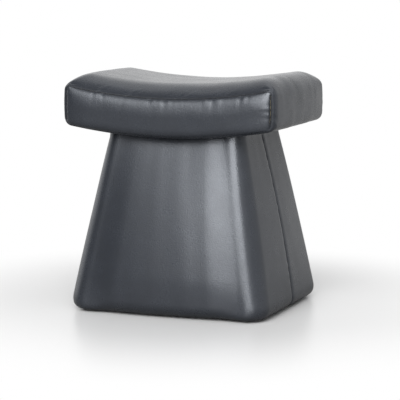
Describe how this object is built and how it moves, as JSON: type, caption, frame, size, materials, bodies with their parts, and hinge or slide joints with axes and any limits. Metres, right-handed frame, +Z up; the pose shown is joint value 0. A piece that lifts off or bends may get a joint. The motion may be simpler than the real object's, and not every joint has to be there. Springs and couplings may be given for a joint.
{
  "type": "shoe fitting stool",
  "caption": "Saddle-curved padded seat bolted to a flared pedestal with a rolled foot, covered all over in smooth grey leather.",
  "frame": {"origin": "on the floor, under the middle of the stool", "axes": "+X along the seat to the right, -Y to the front, +Z up"},
  "size_m": [0.4408, 0.3802, 0.4569],
  "materials": {
    "leather": "smooth slate-grey upholstery leather, fine grain, satin",
    "dust_cloth": "thin black non-woven cloth, matte",
    "foam": "cream upholstery foam, open cell, matte",
    "plywood": "birch plywood, unfinished",
    "timber": "planed softwood, unfinished",
    "zinc_steel": "zinc-plated steel",
    "glide": "hard black plastic, matte"
  },
  "bodies": {
    "root": {"seat_front_rail": "plywood", "seat_back_rail": "plywood", "seat_left_rail": "timber", "seat_right_rail": "timber", "seat_left_cross_rail": "timber", "seat_right_cross_rail": "timber", "seat_corner_blocks": "timber", "seat_deck": "plywood", "seat_foam": "foam", "seat_front_pad": "foam", "seat_back_pad": "foam", "seat_left_pad": "foam", "seat_right_pad": "foam", "seat_cover_top": "leather", "seat_cover_front": "leather", "seat_cover_back": "leather", "seat_dust_cloth": "dust_cloth", "base_front_panel": "plywood", "base_back_panel": "plywood", "base_left_panel": "plywood", "base_right_panel": "plywood", "base_front_left_post": "timber", "base_front_right_post": "timber", "base_back_left_post": "timber", "base_back_right_post": "timber", "base_left_top_rail": "timber", "base_right_top_rail": "timber", "base_front_foot_rail": "timber", "base_back_foot_rail": "timber", "base_left_foot_rail": "timber", "base_right_foot_rail": "timber", "base_front_pad": "foam", "base_back_pad": "foam", "base_left_pad": "foam", "base_right_pad": "foam", "base_cover_front": "leather", "base_cover_back": "leather", "base_dust_cloth": "dust_cloth", "joining_bolts": "zinc_steel", "bolt_washers": "zinc_steel", "tee_nuts": "zinc_steel", "deck_screws": "zinc_steel", "frame_screws": "zinc_steel", "panel_screws": "zinc_steel", "floor_glides": "glide", "glide_nails": "zinc_steel"}
  },
  "joints": []
}
